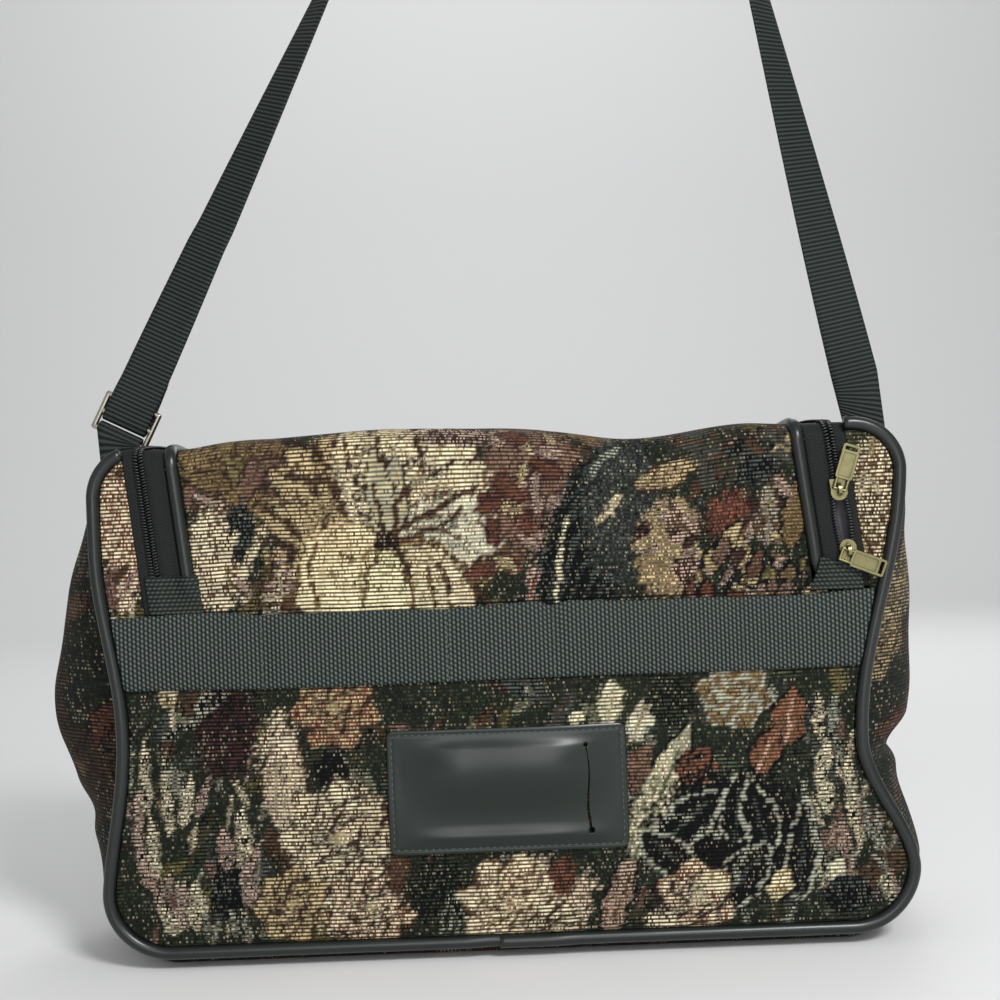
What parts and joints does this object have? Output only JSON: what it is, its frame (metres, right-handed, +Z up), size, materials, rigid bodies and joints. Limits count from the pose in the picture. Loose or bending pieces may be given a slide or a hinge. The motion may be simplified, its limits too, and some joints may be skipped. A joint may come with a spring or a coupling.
{
  "type": "carpet bag",
  "caption": "Soft floral tapestry carpet bag with a zipped lid, vinyl welts, a webbing band, a slit card holder and a long webbing shoulder strap.",
  "frame": {"origin": "middle of the base's flat underside", "axes": "+X to the right seen from the front, +Y to the back, +Z up the strap; the front faces -Y"},
  "size_m": [0.4564, 0.1259, 0.7994],
  "materials": {
    "tapestry": "woven floral tapestry, dark green ground",
    "vinyl": "soft green-grey vinyl",
    "webbing": "ribbed woven webbing",
    "zip_tape": "herringbone woven tape",
    "coil": "nylon coil",
    "brass": "antiqued",
    "nickel": "plated casting",
    "board": "plain fibreboard"
  },
  "bodies": {
    "bag": {"front_panel": "tapestry", "back_panel": "tapestry", "gusset": "tapestry", "top_flap": "tapestry", "top_rim": "tapestry", "front_piping": "vinyl", "back_piping": "vinyl", "flap_piping": "vinyl", "card_holder": "vinyl", "front_band": "webbing", "left_zip_tab": "webbing", "right_zip_tab": "webbing", "shoulder_strap": "webbing", "anchor_loop": "webbing", "zip_tape_body": "zip_tape", "zip_tape_flap": "zip_tape", "zip_coil_body": "coil", "zip_coil_flap": "coil", "strap_slide": "nickel", "base_board": "board"},
    "upper_slider": {"upper_slider": "brass"},
    "upper_pull": {"upper_pull": "brass"},
    "lower_slider": {"lower_slider": "brass"},
    "lower_pull": {"lower_pull": "brass"}
  },
  "joints": [
    {"name": "upper_slider_run", "type": "slide", "parent": "bag", "child": "upper_slider", "axis": [-0.1196, 0, 0.9928], "range_m": [0, 0.019], "deforming": ["zip_coil_body", "zip_coil_flap"]},
    {"name": "upper_pull_swing", "type": "hinge", "parent": "upper_slider", "child": "upper_pull", "pos_m": [0.17048, -0.0611, 0.2275], "axis": [0.9504, 0, -0.3112], "range_deg": [0, 150]},
    {"name": "lower_slider_run", "type": "slide", "parent": "bag", "child": "lower_slider", "axis": [-0.1196, 0, 0.9928], "range_m": [0, 0.008]},
    {"name": "lower_pull_swing", "type": "hinge", "parent": "lower_slider", "child": "lower_pull", "pos_m": [0.17415, -0.0611, 0.197], "axis": [-0.9263, 0, 0.3767], "range_deg": [0, 140]}
  ]
}
